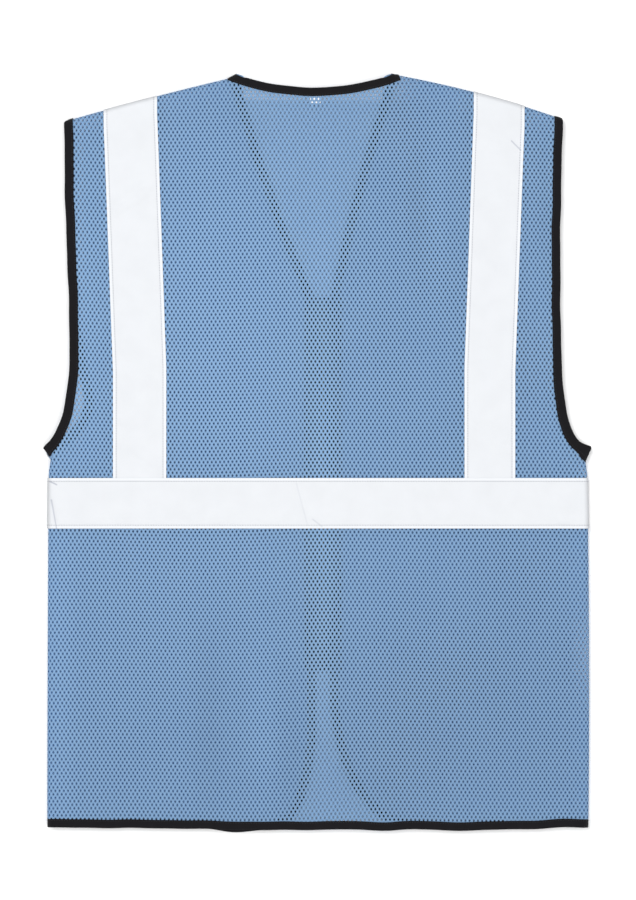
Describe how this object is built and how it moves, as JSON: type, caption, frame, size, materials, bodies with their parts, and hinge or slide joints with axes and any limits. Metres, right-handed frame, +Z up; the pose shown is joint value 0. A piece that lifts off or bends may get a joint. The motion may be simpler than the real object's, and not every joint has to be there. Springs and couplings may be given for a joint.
{
  "type": "mesh multifunction vest",
  "caption": "Sleeveless blue mesh work vest laid flat, back up, with black binding, silver reflective tape over the shoulders and round the waist, and a V neck with a front zip.",
  "frame": {"origin": "under the middle of the vest's bounding box, on the surface that it lies on", "axes": "+Y from the hem to the neck, +Z up out of the back, which faces up, and +X to the right seen from above"},
  "size_m": [0.5366, 0.7418, 0.0136],
  "materials": {
    "mesh": "matt knitted mesh",
    "binding": "matt woven tape",
    "tape": "satin reflective cloth",
    "zip": "matt",
    "label": "satin woven label"
  },
  "bodies": {
    "root": {"back_panel": "mesh", "hem_binding_back": "binding", "neck_binding": "binding", "waist_tape_back": "tape", "front_panel_left": "mesh", "armhole_binding_left": "binding", "shoulder_tape_left": "tape", "front_binding_left": "binding", "waist_tape_front_left": "tape", "front_panel_right": "mesh", "armhole_binding_right": "binding", "shoulder_tape_right": "tape", "front_binding_right": "binding", "waist_tape_front_right": "tape", "chest_pocket_left": "mesh", "chest_pocket_right": "mesh", "front_zip": "zip", "neck_label": "label"}
  },
  "joints": []
}
